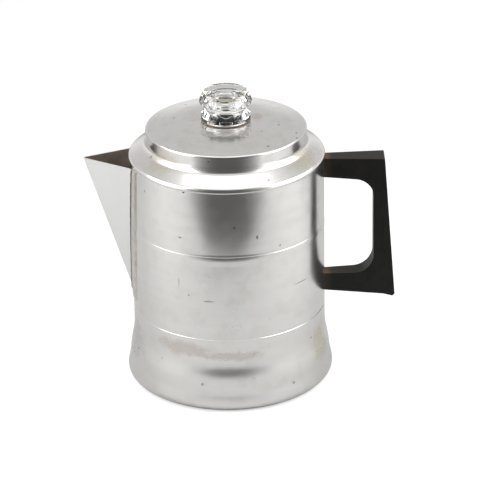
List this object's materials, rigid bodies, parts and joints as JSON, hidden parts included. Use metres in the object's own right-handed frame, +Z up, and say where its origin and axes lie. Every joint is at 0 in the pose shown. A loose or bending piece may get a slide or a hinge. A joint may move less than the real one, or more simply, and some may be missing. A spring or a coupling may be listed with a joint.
{
  "type": "coffee percolator",
  "caption": "Stove-top percolator with a flared foot, folded pouring spout, black side handle, glass-knobbed lid, and a lift-out pump and basket.",
  "frame": {"origin": "centre of the pot's flat base, on the surface that it stands on", "axes": "+Z up along the pot's axis, +X towards the handle, -X towards the spout"},
  "size_m": [0.2429, 0.1636, 0.2376],
  "materials": {
    "pot_aluminium": "satin, worn and stained",
    "spout_aluminium": "satin",
    "weld": "rough and darkened",
    "phenolic": "black, dulled on top",
    "brass": "turned",
    "screw_steel": "turned",
    "washer_aluminium": "plain",
    "lid_aluminium": "satin, fine marks",
    "collar_aluminium": "spun",
    "seal_rubber": "browned by coffee",
    "retainer_steel": "pressed",
    "clear_glass": "clear, moulded",
    "pump_aluminium": "drawn",
    "valve_steel": "plain",
    "basket_aluminium": "spun and pierced"
  },
  "bodies": {
    "pot": {"pot_body": "pot_aluminium", "spout": "spout_aluminium", "spout_weld": "weld", "handle": "phenolic", "handle_inserts": "brass", "handle_screws": "screw_steel", "handle_washers": "washer_aluminium"},
    "lid": {"lid": "lid_aluminium", "lid_collar": "collar_aluminium", "knob_gasket": "seal_rubber", "knob_retainer": "retainer_steel"},
    "knob": {"glass_knob": "clear_glass"},
    "pump": {"pump_tube": "pump_aluminium", "pump_foot": "pump_aluminium", "tube_ferrule": "pump_aluminium", "valve_cage": "pump_aluminium", "basket_stop": "pump_aluminium"},
    "valve": {"pump_valve": "valve_steel"},
    "basket": {"basket_shell": "basket_aluminium", "basket_sleeve": "basket_aluminium"},
    "spreader": {"spreader_plate": "basket_aluminium"}
  },
  "joints": [
    {"name": "lid_lift", "type": "slide", "parent": "pot", "child": "lid", "axis": [0, 0, 1], "range_m": [0, 0.42]},
    {"name": "knob_twist", "type": "hinge", "parent": "lid", "child": "knob", "pos_m": [0, 0, 0.215], "axis": [0, 0, 1], "range_deg": [0, 75]},
    {"name": "pump_lift", "type": "slide", "parent": "pot", "child": "pump", "axis": [0, 0, 1], "range_m": [0, 0.22]},
    {"name": "valve_float", "type": "slide", "parent": "pump", "child": "valve", "axis": [0, 0, 1], "range_m": [0, 0.0022]},
    {"name": "basket_lift", "type": "slide", "parent": "pump", "child": "basket", "axis": [0, 0, 1], "range_m": [0, 0.1]},
    {"name": "spreader_lift", "type": "slide", "parent": "basket", "child": "spreader", "axis": [0, 0, 1], "range_m": [0, 0.04]}
  ],
  "couplings": [
    {"joint": "pump_lift", "follows": "lid_lift", "ratio": 0.5238},
    {"joint": "basket_lift", "follows": "lid_lift", "ratio": 0.238},
    {"joint": "spreader_lift", "follows": "lid_lift", "ratio": 0.0952}
  ]
}
